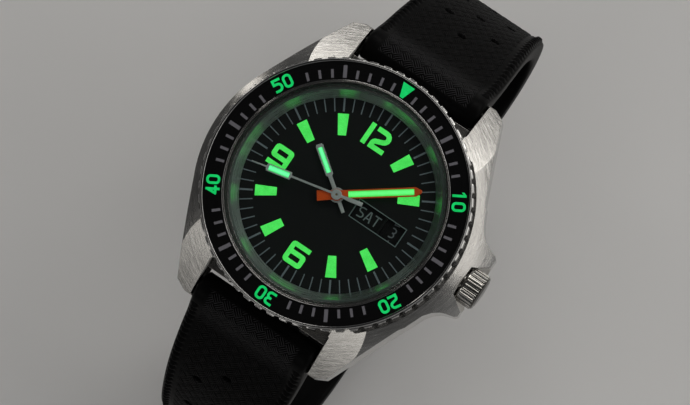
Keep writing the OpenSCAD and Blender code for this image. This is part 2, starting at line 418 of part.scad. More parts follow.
// ---- strap ---------------------------------------------------------------------------------
// A half is a walk of straight and round stretches, [length, radius], in the y-z plane, from the
// spring bar: each place is [y, z, angle below level]
PI_ = 3.14159265;
short_walk = [[11, 0], [34 * 27 * PI_ / 180, 34], [9 * 105 * PI_ / 180, 9], [60, 0]];
long_walk = [[11, 0], [34 * 42 * PI_ / 180, 34], [24 * 60 * PI_ / 180, 24], [12 * 30 * PI_ / 180, 12], [60, 0]];
function step(p, l, r) = r == 0 ? [p[0] + l * cos(p[2]), p[1] - l * sin(p[2]), p[2]] :
  let (b = p[2] + l / r * 180 / PI_) [p[0] + r * (sin(b) - sin(p[2])), p[1] + r * (cos(b) - cos(p[2])), b];
function walk(w, s, i = 0, p = [bar_y, bar_z, 48]) = (i >= len(w) - 1 || s <= w[i][0]) ? step(p, s, w[i][1]) :
  walk(w, s - w[i][0], i + 1, step(p, w[i][0], w[i][1]));
module on_strap(w, s) { p = walk(w, s); translate([0, p[0], p[1]]) rotate([-p[2], 0, 0]) children(); }
function blend(a, b, t) = a + (b - a) * (t < 0 ? 0 : t > 1 ? 1 : t * t * (3 - 2 * t));
function half_w(s, l, tip) = let (w = blend(lug_gap - 0.3, strap_w, (s - 3) / 24) / 2)
  tip && s > l - 9 ? max(w * sqrt(max(0, 1 - pow((s - l + 9) / 9, 2))), 3) : w;
function sect(w, s, hw, ht) = let (p = walk(w, s), c = 0.5, q = [[hw - c, ht], [hw, ht - c], [hw, c - ht], [hw - c, -ht], [c - hw, -ht], [-hw, c - ht], [-hw, ht - c], [c - hw, ht]])
  [for (k = q) [k[0], p[0] + k[1] * sin(p[2]), p[1] + k[1] * cos(p[2])]];
module band(w, l, tip) {
  ss = concat([0, 6], [for (s = [11:2.4:l - 9.5]) s], tip ? [l - 9, l - 7, l - 5, l - 3, l - 1.5, l - 0.5, l] : [l - 6, l - 3, l]);
  pts = [for (s = ss) each sect(w, s, half_w(s, l, tip), (tip ? blend(strap_t, strap_t - 0.6, (s - 40) / 50) : strap_t) / 2)];
  n = len(ss);
  polyhedron(pts, concat([[for (k = [0:7]) k]], [[for (k = [7:-1:0]) (n - 1) * 8 + k]],
    [for (i = [0:n - 2], k = [0:7]) [i * 8 + k, (i + 1) * 8 + k, (i + 1) * 8 + (k + 1) % 8, i * 8 + (k + 1) % 8]]), convexity = 6);
}
module strap_end() translate([0, bar_y, bar_z]) xcyl(2.5, -lug_gap / 2 + 0.15, lug_gap / 2 - 0.15);
module bar_bore() translate([0, bar_y, bar_z]) xcyl(0.95, -20, 20);
module strap_buckle_half() color(RUBBER) difference() {
  union() {
    band(short_walk, short_len, false);
    strap_end();
    on_strap(short_walk, short_len) xcyl(1.72, -strap_w / 2, strap_w / 2);
  }
  bar_bore();
  on_strap(short_walk, short_len) { xcyl(0.86, -20, 20); box(-1.6, 1.6, -3.4, 4, -4, 4); }
}
module strap_tail_half() color(RUBBER) mirror([0, 1, 0]) difference() {
  union() { band(long_walk, long_len, true); strap_end(); }
  bar_bore();
  for (i = [0:holes - 1]) on_strap(long_walk, long_len - 14 - i * 6.5) translate([0, 0, -5]) cylinder(r = 1.1, h = 10, $fn = 24);
}
keep_s = 62; slide_s = 49;
module keeper(l) difference() {
  box(-strap_w / 2 - 0.95, strap_w / 2 + 0.95, -l / 2, l / 2, -strap_t / 2 - 1.3, strap_t / 2 + 4);
  box(-strap_w / 2 - 0.3, strap_w / 2 + 0.3, -l, l, -strap_t / 2 - 0.3, strap_t / 2 + 3);
}
module fixed_keeper() color(RUBBER) on_strap(short_walk, keep_s) keeper(4.5);
module floating_keeper() color(RUBBER) on_strap(short_walk, slide_s) keeper(5);
module buckle_frame() color(STEEL) on_strap(short_walk, short_len) difference() {
  slab([[-11, -1.2], [-9.1, -1.2], [-9.1, 7.2], [-8.3, 8], [8.3, 8], [9.1, 7.2], [9.1, -1.2], [11, -1.2], [11, 8.6], [9.4, 10.2], [-9.4, 10.2], [-11, 8.6]], -0.9, 0.9);
  xcyl(0.83, -10.6, 10.6);
}
module buckle_bar() color(STEEL) on_strap(short_walk, short_len) xcyl(0.8, -10.55, 10.55);
module buckle_tongue() color(STEEL) on_strap(short_walk, short_len) difference() {
  union() { xcyl(1.6, -1.3, 1.3); box(-0.9, 0.9, 0, 9.7, 0.96, 1.6); }
  xcyl(0.86, -5, 5);
}

mid_case();
case_back();
case_back_gasket();
movement_ring();
crown_tube();
rehaut_ring();
crystal();
crystal_gasket();
bezel_click_spring();
bezel_retaining_wire();
spring_bars();
dial();
minute_track();
hour_markers();
day_date_frame();
main_plate();
train_bridge();
circuit_board();
quartz_can();
battery();
battery_strap();
coil();
stator();
movement_screws();
rotor();
intermediate_wheel();
seconds_wheel();
third_wheel();
cannon_wheel();
minute_wheel();
hour_wheel();
hour_hand();
hour_hand_lume();
minute_hand();
minute_hand_lume();
seconds_hand();
seconds_hand_lume();
date_disc();
date_print();
day_disc();
day_print();
crown();
stem();
crown_gasket();
setting_lever();
sliding_pinion();
bezel_ring();
bezel_insert();
bezel_marks();
bezel_numerals();
strap_buckle_half();
strap_tail_half();
fixed_keeper();
floating_keeper();
buckle_frame();
buckle_tongue();
buckle_bar();
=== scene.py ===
import math

import bmesh
import bpy
import numpy as np
from mathutils import Matrix, Vector


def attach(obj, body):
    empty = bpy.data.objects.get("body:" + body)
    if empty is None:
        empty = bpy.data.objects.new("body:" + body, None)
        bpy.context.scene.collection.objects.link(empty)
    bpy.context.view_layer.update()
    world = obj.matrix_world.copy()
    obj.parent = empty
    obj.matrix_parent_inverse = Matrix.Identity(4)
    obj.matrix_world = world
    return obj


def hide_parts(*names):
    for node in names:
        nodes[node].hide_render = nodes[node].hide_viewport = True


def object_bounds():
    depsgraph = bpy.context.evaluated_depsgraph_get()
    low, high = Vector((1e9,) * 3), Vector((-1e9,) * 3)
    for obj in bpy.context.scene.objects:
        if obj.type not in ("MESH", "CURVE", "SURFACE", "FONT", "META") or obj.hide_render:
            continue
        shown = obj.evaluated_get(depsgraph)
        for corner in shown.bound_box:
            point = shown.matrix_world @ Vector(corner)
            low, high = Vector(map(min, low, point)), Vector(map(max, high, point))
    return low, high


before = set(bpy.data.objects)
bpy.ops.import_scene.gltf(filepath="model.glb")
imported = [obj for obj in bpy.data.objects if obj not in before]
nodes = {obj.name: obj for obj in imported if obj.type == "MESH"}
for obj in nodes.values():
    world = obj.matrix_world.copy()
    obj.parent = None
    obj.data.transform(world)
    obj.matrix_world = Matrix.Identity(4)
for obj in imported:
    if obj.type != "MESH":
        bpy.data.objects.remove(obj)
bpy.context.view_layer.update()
MM = 0.001
scene = bpy.context.scene


# ---------------------------------------------------------------- material helper
class Mat:
    """A Principled material whose sockets take numbers, colours or other nodes' outputs."""

    def __init__(self, name, **sockets):
        self.m = bpy.data.materials.new(name)
        self.m.use_nodes = True
        self.t = self.m.node_tree
        self.t.nodes.clear()
        self.out = self.t.nodes.new("ShaderNodeOutputMaterial")
        self.p = self.t.nodes.new("ShaderNodeBsdfPrincipled")
        self.t.links.new(self.p.outputs[0], self.out.inputs[0])
        self._mm = None
        self.set(**sockets)

    def put(self, sock, v):
        if isinstance(v, bpy.types.NodeSocket):
            self.t.links.new(v, sock)
        elif sock.type == "RGBA" and len(v) == 3:
            sock.default_value = (*v, 1.0)
        else:
            sock.default_value = v

    def set(self, **sockets):
        for k, v in sockets.items():
            self.put(self.p.inputs[k.replace("_", " ")], v)
        return self

    def new(self, kind, ins=(), **props):
        n = self.t.nodes.new(kind)
        for k, v in props.items():
            setattr(n, k, v)
        for k, v in dict(ins).items():
            self.put(n.inputs[k], v)
        return n

    def math(self, op, a, b=0.0, c=0.0, clamp=False):
        return self.new("ShaderNodeMath", {0: a, 1: b, 2: c}, operation=op, use_clamp=clamp).outputs[0]

    def mm(self):
        """Object coordinates in millimetres."""
        if self._mm is None:
            tc = self.new("ShaderNodeTexCoord")
            self._mm = self.new("ShaderNodeVectorMath", {0: tc.outputs["Object"], "Scale": 1000.0}, operation="SCALE").outputs[0]
        return self._mm

    def split(self, v):
        return self.new("ShaderNodeSeparateXYZ", {0: v}).outputs[:3]

    def join(self, x, y, z):
        return self.new("ShaderNodeCombineXYZ", {0: x, 1: y, 2: z}).outputs[0]

    def polar(self, x, y):
        r = self.math("SQRT", self.math("ADD", self.math("MULTIPLY", x, x), self.math("MULTIPLY", y, y)))
        return r, self.math("ARCTAN2", y, x)

    def noise(self, v, scale=1.0, detail=2.0, rough=0.5):
        return self.new("ShaderNodeTexNoise", {"Vector": v, "Scale": scale, "Detail": detail, "Roughness": rough}).outputs[0]

    def map(self, v, a, b, c, d, smooth=False):
        n = self.new("ShaderNodeMapRange", {0: v, 1: a, 2: b, 3: c, 4: d}, interpolation_type="SMOOTHSTEP" if smooth else "LINEAR")
        return n.outputs[0]

    def ramp(self, fac, stops):
        n = self.new("ShaderNodeValToRGB", {0: fac})
        e = n.color_ramp.elements
        while len(e) < len(stops):
            e.new(0.5)
        for el, (pos, col) in zip(e, stops):
            el.position = pos
            el.color = (*col, 1.0)
        return n.outputs[0]

    def mix(self, fac, a, b):
        n = self.new("ShaderNodeMix", data_type="RGBA")
        self.put(n.inputs[0], fac)
        self.put(n.inputs[6], a)
        self.put(n.inputs[7], b)
        return n.outputs[2]

    def lerp(self, fac, a, b):
        n = self.new("ShaderNodeMix", data_type="FLOAT")
        for i, v in ((0, fac), (2, a), (3, b)):
            self.put(n.inputs[i], v)
        return n.outputs[0]

    def bump(self, height, dist_mm, strength=1.0, normal=None):
        ins = {"Height": height, "Distance": dist_mm * MM, "Strength": strength}
        if normal is not None:
            ins["Normal"] = normal
        return self.new("ShaderNodeBump", ins).outputs[0]


def grey(v):
    return (v, v, v)


def turned_steel(name, light=0.62, rough=0.14, ring=9.0, amount=0.06, warm=0.0):
    """Polished or finely turned steel: rings about the dial's axis, a few fine scratches."""
    m = Mat(name, Metallic=1.0)
    x, y, z = m.split(m.mm())
    r, th = m.polar(x, y)
    rings = m.noise(m.join(m.math("MULTIPLY", r, ring), m.math("MULTIPLY", th, 2.0), m.math("MULTIPLY", z, ring)), 1.0, 3.0, 0.6)
    cloud = m.noise(m.mm(), 0.35, 3.0, 0.6)
    scr = m.noise(m.join(m.math("MULTIPLY", m.math("ADD", x, y), 9.0), m.math("MULTIPLY", m.math("SUBTRACT", x, y), 0.5), z), 1.0, 2.0, 0.7)
    lo, hi = light * 0.86, light * 1.06
    m.set(
        Base_Color=m.ramp(m.math("ADD", m.math("MULTIPLY", cloud, 0.6), m.math("MULTIPLY", rings, 0.4)), [(0.3, (lo, lo * (1 - 0.02 - warm), lo * (1 - 0.05 - warm))), (0.7, (hi, hi * (1 - 0.01 - warm), hi * (1 - 0.03 - warm)))]),
        Roughness=m.math("ADD", m.map(rings, 0.3, 0.7, rough - amount / 2, rough + amount / 2), m.map(scr, 0.62, 0.75, 0.0, 0.08)),
        Normal=m.bump(rings, 0.004, 0.35),
    )
    return m


def case_material():
    """Faces that look up are brushed in circles about the dial; flanks, eased edges and bores are polished."""
    m = Mat("case_steel_brushed", Metallic=1.0, Anisotropic=0.6)
    v = m.mm()
    x, y, z = m.split(v)
    r, th = m.polar(x, y)
    nz = m.split(m.new("ShaderNodeNewGeometry").outputs["True Normal"])[2]
    up = m.map(nz, 0.56, 0.70, 0.0, 1.0)
    soft = m.new("ShaderNodeBevel", {"Radius": 0.10 * MM}, samples=6).outputs[0]
    fine = m.noise(m.join(m.math("MULTIPLY", r, 4.6), m.math("MULTIPLY", th, 9.0), m.math("MULTIPLY", z, 1.5)), 1.0, 4.0, 0.75)
    wide = m.noise(m.join(m.math("MULTIPLY", r, 2.4), m.math("MULTIPLY", th, 6.0), 5.0), 1.0, 2.0, 0.5)
    lines = m.map(m.math("ADD", m.math("MULTIPLY", fine, 0.65), m.math("MULTIPLY", wide, 0.35)), 0.34, 0.66, 0.0, 1.0)
    cloud = m.noise(v, 0.22, 3.0, 0.6)
    hair = m.noise(m.join(m.math("MULTIPLY", m.math("ADD", x, z), 7.0), m.math("MULTIPLY", y, 0.7), m.math("MULTIPLY", z, 7.0)), 1.0, 2.0, 0.7)
    brushed = m.map(lines, 0.0, 1.0, 0.18, 0.28)
    polished = m.math("ADD", m.map(cloud, 0.3, 0.7, 0.08, 0.15), m.map(hair, 0.62, 0.78, 0.0, 0.06))
    m.set(
        Base_Color=m.mix(m.math("ADD", m.math("MULTIPLY", lines, 0.75), m.math("MULTIPLY", cloud, 0.25)), (0.34, 0.33, 0.31), (0.57, 0.556, 0.528)),
        Roughness=m.lerp(up, polished, brushed),
        Normal=m.bump(m.math("MULTIPLY", lines, up), 0.012, 0.8, soft),
        Tangent=m.join(x, y, 0.0),
    )
    return m


def crown_material():
    """Polished flutes; the domed end is mirror-smooth and painted darker, a painted shade."""
    m = Mat("crown_steel_polished", Metallic=1.0)
    v = m.mm()
    nx = m.split(m.new("ShaderNodeNewGeometry").outputs["True Normal"])[0]
    # mask of the domed end facing +X, which gets a painted shade in its colour
    end = m.map(nx, 0.42, 0.62, 0.0, 1.0)
    x, y, z = m.split(v)
    rad, th = m.polar(y, m.math("SUBTRACT", z, 5.7))
    rings = m.noise(m.join(m.math("MULTIPLY", rad, 8.0), m.math("MULTIPLY", th, 2.0), x), 1.0, 3.0, 0.6)
    cloud = m.noise(v, 0.9, 3.0, 0.6)
    tone = m.math("ADD", m.math("MULTIPLY", rings, 0.5), m.math("MULTIPLY", cloud, 0.5))
    m.set(
        # the end's near-black tones are painted shade; the flutes keep the steel's own tone
        Base_Color=m.mix(end, m.mix(tone, (0.40, 0.385, 0.355), (0.56, 0.545, 0.51)), m.mix(tone, (0.045, 0.042, 0.038), (0.10, 0.094, 0.085))),
        Roughness=m.map(tone, 0.3, 0.7, 0.10, 0.18),
        Normal=m.bump(rings, 0.003, 0.35),
    )
    return m


def brushed_metal(name, colour, rough=0.3, direction=(1, 0, 0), spots=None):
    """Straight-grained metal for movement parts, springs and hands."""
    m = Mat(name, Metallic=1.0)
    v = m.mm()
    along = m.new("ShaderNodeVectorMath", {0: v, 1: direction}, operation="DOT_PRODUCT").outputs["Value"]
    flat = m.new("ShaderNodeVectorMath", {0: v, 1: tuple(1 - abs(d) for d in direction)}, operation="MULTIPLY").outputs[0]
    q = m.new("ShaderNodeVectorMath", {0: m.new("ShaderNodeVectorMath", {0: flat, "Scale": 14.0}, operation="SCALE").outputs[0], 1: m.join(m.math("MULTIPLY", along, 0.6), 0.0, 0.0)}, operation="ADD").outputs[0]
    g = m.noise(q, 1.0, 3.0, 0.6)
    cloud = m.noise(v, 0.6, 3.0, 0.6)
    c = np.array(colour)
    m.set(
        Base_Color=m.mix(m.math("ADD", m.math("MULTIPLY", g, 0.6), m.math("MULTIPLY", cloud, 0.4)), tuple(c * 0.78), tuple(np.minimum(c * 1.15, 1))),
        Roughness=m.map(g, 0.3, 0.7, rough - 0.07, rough + 0.09),
        Normal=m.bump(g, 0.006, 0.4),
    )
    return m


def paint(name, a, b, rough=0.5, grain=6.0, bump=0.01, spec=0.5, coat=0.0):
    """Matt lacquer, print or moulded plastic: two close tones in a fine grain."""
    m = Mat(name, Specular_IOR_Level=spec, Coat_Weight=coat)
    v = m.mm()
    g = m.noise(v, grain, 3.0, 0.6)
    cloud = m.noise(v, 0.5, 2.0, 0.5)
    m.set(
        Base_Color=m.mix(m.math("ADD", m.math("MULTIPLY", g, 0.7), m.math("MULTIPLY", cloud, 0.3)), a, b),
        Roughness=m.map(g, 0.3, 0.7, rough - 0.06, rough + 0.06),
        Normal=m.bump(g, bump, 0.5),
    )
    return m


def lume(name, dim, bright, strength, base, hand=None, half=0.4):
    """Glowing paint: a granular, slightly uneven glow over a pale pigment; on a hand it is brightest along the middle."""
    m = Mat(name, Roughness=0.75, Specular_IOR_Level=0.15, Emission_Strength=strength)
    v = m.mm()
    g = m.noise(v, 5.0, 3.0, 0.65)
    cloud = m.noise(v, 0.9, 2.0, 0.5)
    f = m.math("ADD", m.math("MULTIPLY", g, 0.45), m.math("MULTIPLY", cloud, 0.55))
    f = m.map(f, 0.32, 0.68, 0.0, 1.0)
    if hand is not None:
        a = math.radians(hand)
        off = m.new("ShaderNodeVectorMath", {0: v, 1: (math.cos(a), -math.sin(a), 0.0)}, operation="DOT_PRODUCT").outputs["Value"]
        core = m.map(m.math("ABSOLUTE", off), half * 0.25, half, 1.0, 0.0, True)
        f = m.math("ADD", m.math("MULTIPLY", f, 0.25), m.math("MULTIPLY", core, 0.75))
    m.set(
        Emission_Color=m.mix(f, dim, bright),
        Base_Color=m.mix(g, tuple(np.array(base) * 0.8), base),
        Normal=m.bump(g, 0.015, 0.6),
    )
    return m


# ---------------------------------------------------------------- materials of the CAD nodes
case_steel = case_material()
bezel_steel = turned_steel("bezel_steel_polished", 0.40, 0.13, 5.0, 0.07)
bright_steel = turned_steel("polished_steel_bright", 0.46, 0.12, 6.0, 0.07)
crown_steel = crown_material()
spring_steel = brushed_metal("spring_steel_satin", (0.46, 0.46, 0.45), 0.32)
can_steel = brushed_metal("can_steel_satin", (0.48, 0.48, 0.47), 0.28, (0, 1, 0))
brass = brushed_metal("gilt_brass", (0.62, 0.46, 0.21), 0.3, (1, 0, 0))
copper = brushed_metal("copper_windings", (0.52, 0.22, 0.10), 0.35, (0, 1, 0))
blued = brushed_metal("blued_screws", (0.08, 0.11, 0.30), 0.2)
gasket = paint("gasket_rubber", grey(0.010), grey(0.024), 0.7, spec=0.3)
holder = paint("holder_plastic", (0.42, 0.41, 0.38), (0.52, 0.51, 0.47), 0.5)
board = paint("board_green", (0.010, 0.075, 0.033), (0.025, 0.13, 0.066), 0.4, 3.0)
dial_black = paint("dial_black_matt", (0.0062, 0.0078, 0.0075), (0.0105, 0.0128, 0.0124), 0.55, 16.0, 0.006, 0.10)
disc_black = paint("disc_black", (0.004, 0.0048, 0.0047), (0.007, 0.0084, 0.0082), 0.55, 10.0, 0.006, 0.10)
print_grey = paint("dial_print_grey", (0.118, 0.158, 0.168), (0.176, 0.228, 0.242), 0.55, 9.0, 0.004, 0.3)
print_frame = paint("window_frame_grey", (0.118, 0.175, 0.17), (0.165, 0.24, 0.23), 0.45, 9.0, 0.004, 0.3)
print_marks = paint("bezel_print_grey", (0.125, 0.12, 0.135), (0.18, 0.175, 0.195), 0.5, 9.0, 0.004, 0.25)
print_day = paint("disc_print_day", (0.135, 0.185, 0.18), (0.185, 0.245, 0.24), 0.55, 9.0, 0.004, 0.3)
print_date = paint("disc_print_date", (0.10, 0.125, 0.13), (0.14, 0.17, 0.175), 0.55, 9.0, 0.004, 0.3)
orange = paint("hand_orange_lacquer", (0.50, 0.058, 0.003), (0.66, 0.090, 0.005), 0.36, 7.0, 0.006, 0.4)
dial_lume = lume("lume_dial", (0.040, 0.60, 0.066), (0.075, 0.80, 0.115), 1.0, (0.03, 0.09, 0.03))
hour_lume = lume("lume_hour_hand", (0.035, 0.60, 0.10), (0.15, 1.0, 0.40), 1.05, (0.05, 0.12, 0.06), 306.2, 0.33)
minute_lume = lume("lume_minute_hand", (0.045, 0.64, 0.055), (0.13, 1.0, 0.22), 1.02, (0.05, 0.12, 0.05), 54.0, 0.44)
second_lume = lume("lume_seconds_hand", (0.04, 0.66, 0.13), (0.16, 1.0, 0.42), 1.05, (0.05, 0.12, 0.06), 258.0, 0.39)
bezel_lume = lume("lume_bezel", (0.0, 0.42, 0.075), (0.006, 0.66, 0.15), 1.0, (0.006, 0.05, 0.02))


def rehaut_material():
    """Satin chapter ring: its fine turning lines draw each reflection out across the slope; its green tint is painted
    glow from the lume.
    """
    m = Mat("rehaut_satin", Metallic=0.96, Anisotropic=0.85)
    x, y, z = m.split(m.mm())
    r, th = m.polar(x, y)
    rings = m.noise(m.join(m.math("MULTIPLY", r, 9.0), m.math("MULTIPLY", th, 3.0), m.math("MULTIPLY", z, 9.0)), 1.0, 3.0, 0.6)
    cloud = m.noise(m.mm(), 0.3, 2.0, 0.5)
    m.set(
        # the green cast of this base colour is painted glow from the lume, not the steel's own colour
        Base_Color=m.mix(m.math("ADD", m.math("MULTIPLY", rings, 0.6), m.math("MULTIPLY", cloud, 0.4)), (0.40, 0.50, 0.45), (0.55, 0.67, 0.61)),
        Roughness=m.map(rings, 0.3, 0.7, 0.25, 0.33),
        Normal=m.bump(rings, 0.004, 0.3),
        Tangent=m.join(x, y, 0.0),
    )
    return m


def hand_material():
    """Frosted silver hands: pale, barely metallic, with a grain along the hand."""
    m = Mat("hand_silver_frosted", Metallic=0.25, Specular_IOR_Level=0.5)
    v = m.mm()
    g = m.noise(v, 8.0, 3.0, 0.6)
    cloud = m.noise(v, 0.8, 2.0, 0.5)
    m.set(
        Base_Color=m.mix(m.math("ADD", m.math("MULTIPLY", g, 0.4), m.math("MULTIPLY", cloud, 0.6)), (0.35, 0.41, 0.39), (0.43, 0.49, 0.47)),
        Roughness=m.map(g, 0.3, 0.7, 0.30, 0.42),
        Normal=m.bump(g, 0.004, 0.35),
    )
    return m


rehaut_steel = rehaut_material()
hand_silver = hand_material()


def insert_material():
    m = Mat("bezel_insert_black", Specular_IOR_Level=0.16)
    x, y, z = m.split(m.mm())
    r, th = m.polar(x, y)
    rings = m.noise(m.join(m.math("MULTIPLY", r, 16.0), m.math("MULTIPLY", th, 5.0), 0.0), 1.0, 3.0, 0.6)
    grain = m.noise(m.mm(), 14.0, 2.0, 0.6)
    m.set(
        Base_Color=m.mix(m.math("ADD", m.math("MULTIPLY", rings, 0.5), m.math("MULTIPLY", grain, 0.5)), grey(0.0016), (0.0046, 0.0046, 0.0050)),
        Roughness=m.map(rings, 0.3, 0.7, 0.26, 0.40),
        Normal=m.bump(grain, 0.005, 0.4),
    )
    return m


def crystal_material():
    """Clear mineral glass: only its surface gloss shows, and a faint tint at the polished edge."""
    m = Mat("crystal_glass", Metallic=1.0, IOR=1.5)
    nz = m.split(m.new("ShaderNodeNewGeometry").outputs["Normal"])[2]
    edge = m.map(m.math("ABSOLUTE", nz), 0.80, 0.95, 1.0, 0.0)
    fres = m.new("ShaderNodeFresnel", {"IOR": 1.45}).outputs[0]
    film = m.noise(m.mm(), 0.45, 2.0, 0.6)
    m.set(
        Base_Color=m.mix(edge, (0.93, 0.97, 1.0), (0.19, 0.36, 0.275)),
        Roughness=m.map(film, 0.35, 0.65, 0.015, 0.045),
        Alpha=m.math("ADD", m.math("MULTIPLY", fres, 0.28), m.math("MULTIPLY", edge, 0.04), clamp=True),
    )
    return m


insert_black = insert_material()
crystal = crystal_material()

LOOK = {
    case_steel: "mid_case case_back crown_tube",
    bezel_steel: "bezel_ring",
    rehaut_steel: "rehaut_ring",
    crown_steel: "crown",
    bright_steel: "spring_bars buckle_frame buckle_tongue buckle_bar",
    spring_steel: "bezel_click_spring bezel_retaining_wire battery_strap setting_lever sliding_pinion stem",
    can_steel: "quartz_can battery stator rotor",
    brass: "main_plate train_bridge intermediate_wheel seconds_wheel third_wheel cannon_wheel minute_wheel hour_wheel",
    copper: "coil",
    blued: "movement_screws",
    hand_silver: "hour_hand seconds_hand",
    orange: "minute_hand",
    gasket: "case_back_gasket crown_gasket crystal_gasket",
    holder: "movement_ring",
    board: "circuit_board",
    dial_black: "dial",
    disc_black: "date_disc day_disc",
    print_grey: "minute_track",
    print_frame: "day_date_frame",
    print_marks: "bezel_marks",
    print_day: "day_print",
    print_date: "date_print",
    dial_lume: "hour_markers",
    hour_lume: "hour_hand_lume",
    minute_lume: "minute_hand_lume",
    second_lume: "seconds_hand_lume",
    bezel_lume: "bezel_numerals",
    insert_black: "bezel_insert",
    crystal: "crystal",
}
for look, names in LOOK.items():
    for n in names.split():
        slots = nodes[n].data.materials
        slots.clear()
        slots.append(look.m)


# ---------------------------------------------------------------- eased edges on CAD nodes
def clean_group(angle):
    """Joins the faces of a CAD mesh again and marks its edges sharp or smooth by their angle."""
    g = bpy.data.node_groups.new(f"join_faces_{angle}", "GeometryNodeTree")
    g.interface.new_socket("Geometry", in_out="INPUT", socket_type="NodeSocketGeometry")
    g.interface.new_socket("Geometry", in_out="OUTPUT", socket_type="NodeSocketGeometry")
    i, o = g.nodes.new("NodeGroupInput"), g.nodes.new("NodeGroupOutput")
    w = g.nodes.new("GeometryNodeMergeByDistance")
    w.inputs["Distance"].default_value = 2e-7
    s = g.nodes.new("GeometryNodeSetMeshNormal")
    s.mode = "SHARPNESS"
    a = g.nodes.new("GeometryNodeInputMeshEdgeAngle")
    c = g.nodes.new("FunctionNodeCompare")
    c.data_type, c.operation = "FLOAT", "GREATER_THAN"
    c.inputs[1].default_value = math.radians(angle)
    g.links.new(i.outputs[0], w.inputs["Geometry"])
    g.links.new(a.outputs["Unsigned Angle"], c.inputs[0])
    g.links.new(w.outputs[0], s.inputs["Mesh"])
    s.inputs["Remove Custom"].default_value = True
    g.links.new(c.outputs[0], s.inputs["Edge Sharpness"])
    g.links.new(s.outputs[0], o.inputs[0])
    return g


groups = {}


def ease(name, width, segments=2, angle=32):
    o = nodes[name]
    if angle not in groups:
        groups[angle] = clean_group(angle)
    o.modifiers.new("join", "NODES").node_group = groups[angle]
    b = o.modifiers.new("ease", "BEVEL")
    b.width, b.segments, b.limit_method, b.angle_limit = width * MM, segments, "ANGLE", math.radians(angle)
    b.miter_outer = "MITER_ARC"
    b.use_clamp_overlap = True
    w = o.modifiers.new("weigh", "WEIGHTED_NORMAL")
    w.mode, w.weight, w.keep_sharp = "FACE_AREA", 50, False


for n, width, seg in (
    ("hour_markers", 0.05, 3), ("bezel_numerals", 0.03, 2), ("hour_hand_lume", 0.06, 3), ("minute_hand_lume", 0.06, 3), ("seconds_hand_lume", 0.05, 3),
    ("hour_hand", 0.04, 2), ("minute_hand", 0.04, 2), ("seconds_hand", 0.03, 2), ("day_date_frame", 0.03, 2),
    ("buckle_frame", 0.35, 4), ("buckle_tongue", 0.2, 3), ("bezel_ring", 0.04, 2), ("crown", 0.05, 2),
):
    ease(n, width, seg)


# ---------------------------------------------------------------- strap
def smooth(x, a, b):
    t = np.clip((x - a) / (b - a), 0, 1)
    return t * t * (3 - 2 * t)


RAD = math.radians
SHORT = [(11.0, 0.0), (34 * RAD(27), 34.0), (9 * RAD(105), 9.0), (200.0, 0.0)]
LONG = [(11.0, 0.0), (34 * RAD(42), 34.0), (24 * RAD(60), 24.0), (12 * RAD(30), 12.0), (200.0, 0.0)]
SHORT_LEN, LONG_LEN = 68.0, 103.0
CELL = 1.3


def along(segs, s):
    """Where the strap's middle line is (y, z) and how far it leans down, s mm from the spring bar."""
    s = np.atleast_1d(np.asarray(s, float))
    y, z, a = (np.zeros_like(s) for _ in range(3))
    y0, z0, a0, done = 21.2, 2.8, RAD(48), 0.0
    for l, r in segs:
        q = np.where(s < done, s - done if done == 0 else 0, np.minimum(s - done, l))
        on = s >= done if done else np.ones_like(s, bool)
        if r == 0:
            yy, zz, aa = y0 + q * math.cos(a0), z0 - q * math.sin(a0), np.full_like(s, a0)
            y1, z1, a1 = y0 + l * math.cos(a0), z0 - l * math.sin(a0), a0
        else:
            aa = a0 + q / r
            yy, zz = y0 + r * (np.sin(aa) - math.sin(a0)), z0 + r * (np.cos(aa) - math.cos(a0))
            a1 = a0 + l / r
            y1, z1 = y0 + r * (math.sin(a1) - math.sin(a0)), z0 + r * (math.cos(a1) - math.cos(a0))
        y, z, a = np.where(on, yy, y), np.where(on, zz, z), np.where(on, aa, a)
        y0, z0, a0, done = y1, z1, a1, done + l
    # before the spring bar the face goes on round the bar, level with the case
    y, z, a = np.where(s < 0, 21.2, y), np.where(s < 0, 2.8, z), np.where(s < 0, RAD(48) + s / 2.5, a)
    return y, z, a


def fine_steps(lo, hi, step, spots, reach, fine):
    """Even steps from lo to hi, with finer ones within reach of each spot."""
    n = int(round((hi - lo) / step))
    base = list(np.linspace(lo, hi, n + 1))
    extra = [p for c in spots for p in np.arange(c - reach, c + reach + 1e-9, fine) if lo < p < hi]
    out = []
    for p in sorted(base + extra):
        if not out or p - out[-1] > fine * 0.45:
            out.append(p)
    out[-1] = hi
    return np.array(out)


